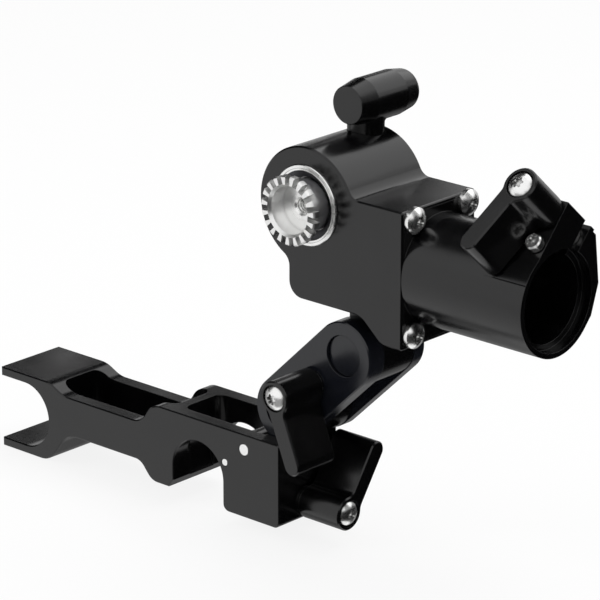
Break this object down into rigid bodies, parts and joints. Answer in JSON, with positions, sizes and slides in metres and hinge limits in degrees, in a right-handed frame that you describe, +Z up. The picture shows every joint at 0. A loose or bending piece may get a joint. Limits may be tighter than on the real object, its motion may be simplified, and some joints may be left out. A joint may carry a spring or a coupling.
{
  "type": "follow focus unit",
  "caption": "Follow focus drive for paired 15 mm rods: forked clamp bridge, folding link, gear housing with dog output, hand-wheel tube with lever clamp, and T-handle brake.",
  "frame": {"origin": "axis of the clamped rod at the middle of the bridge's depth", "axes": "+Y along the rods, +X out along the hand-wheel tube, +Z up"},
  "size_m": [0.1501, 0.044, 0.101],
  "materials": {
    "black_anodised": "satin black anodised",
    "blue_black_anodised": "satin blue-black anodised",
    "blackened_steel": "black oxide",
    "bright_steel": "bright turned stainless",
    "bronze": "sintered bronze",
    "brass_gear": "cut brass"
  },
  "bodies": {
    "bridge": {"bridge": "black_anodised", "jaw_pivot_pin": "bright_steel", "jaw_stop_pin": "bright_steel"},
    "jaw": {"rod_jaw": "black_anodised"},
    "rod_lever": {"rod_lever": "black_anodised", "rod_clamp_stud": "bright_steel", "rod_lever_screw": "bright_steel", "rod_lever_washer": "blackened_steel"},
    "link": {"link_front_plate": "blue_black_anodised", "link_rear_plate": "blue_black_anodised", "link_lower_pin": "blackened_steel", "link_upper_pin": "blackened_steel"},
    "link_lever": {"link_lever": "black_anodised", "link_clamp_stud": "bright_steel", "link_lever_screw": "bright_steel", "link_lever_washer": "blackened_steel"},
    "housing": {"housing": "black_anodised", "rear_cover": "black_anodised", "rear_cover_screws": "bright_steel", "retaining_ring": "bright_steel", "dust_shield": "blackened_steel", "output_bearing": "bright_steel", "output_rear_bush": "bronze", "layshaft_front_bush": "bronze", "layshaft_rear_bush": "bronze", "input_bearing": "bright_steel", "handle_bush": "bronze", "brake_shoe": "bronze", "clamp_tube": "black_anodised", "tube_flange_screws": "bright_steel", "tube_stop_screw": "bright_steel"},
    "output": {"output_crown": "bright_steel", "output_shaft": "bright_steel", "output_gear": "brass_gear"},
    "layshaft": {"layshaft": "bright_steel", "layshaft_gear": "brass_gear", "layshaft_bevel": "brass_gear"},
    "input": {"input_shaft": "bright_steel", "input_bevel": "brass_gear", "input_coupling": "bright_steel"},
    "tube_lever": {"tube_lever": "black_anodised", "tube_clamp_stud": "bright_steel", "tube_lever_screw": "bright_steel", "tube_lever_washer": "blackened_steel"},
    "t_handle": {"t_handle": "black_anodised", "t_handle_shaft": "bright_steel"}
  },
  "joints": [
    {"name": "rod_lever_turn", "type": "hinge", "parent": "bridge", "child": "rod_lever", "pos_m": [0.02425, 0.0001, -0.0024], "axis": [1, 0, 0], "range_deg": [-110, 0]},
    {"name": "jaw_close", "type": "hinge", "parent": "bridge", "child": "jaw", "pos_m": [0.0139, 0, 0.0092], "axis": [0, 1, 0], "range_deg": [0, 1.2]},
    {"name": "link_tilt", "type": "hinge", "parent": "bridge", "child": "link", "pos_m": [0.0215, 0, 0.019], "axis": [0, 1, 0], "range_deg": [-46, 32]},
    {"name": "link_lever_turn", "type": "hinge", "parent": "link", "child": "link_lever", "pos_m": [0.03026, -0.0052, 0.0274], "axis": [0, -1, 0], "range_deg": [-20, 100]},
    {"name": "housing_tilt", "type": "hinge", "parent": "link", "child": "housing", "pos_m": [0.03901, 0, 0.03579], "axis": [0, 1, 0], "range_deg": [-45, 45]},
    {"name": "tube_lever_turn", "type": "hinge", "parent": "housing", "child": "tube_lever", "pos_m": [0.0839, 0.0055, 0.07508], "axis": [0, -0.7431, 0.6691], "range_deg": [-100, 0]},
    {"name": "t_handle_turn", "type": "hinge", "parent": "housing", "child": "t_handle", "pos_m": [0.02934, 0.0127, 0.07938], "axis": [0, 0, 1], "range_deg": [0, 90]},
    {"name": "output_spin", "type": "hinge", "parent": "housing", "child": "output", "pos_m": [0.02934, 0, 0.0674], "axis": [0, 1, 0], "continuous": true},
    {"name": "layshaft_spin", "type": "hinge", "parent": "housing", "child": "layshaft", "pos_m": [0.0376, 0, 0.0566], "axis": [0, 1, 0], "continuous": true},
    {"name": "input_spin", "type": "hinge", "parent": "housing", "child": "input", "pos_m": [0.056, 0.0057, 0.0566], "axis": [1, 0, 0], "continuous": true}
  ],
  "couplings": [
    {"joint": "jaw_close", "follows": "rod_lever_turn", "ratio": -0.010909},
    {"joint": "layshaft_spin", "follows": "output_spin", "ratio": -1},
    {"joint": "input_spin", "follows": "output_spin", "ratio": -1}
  ]
}
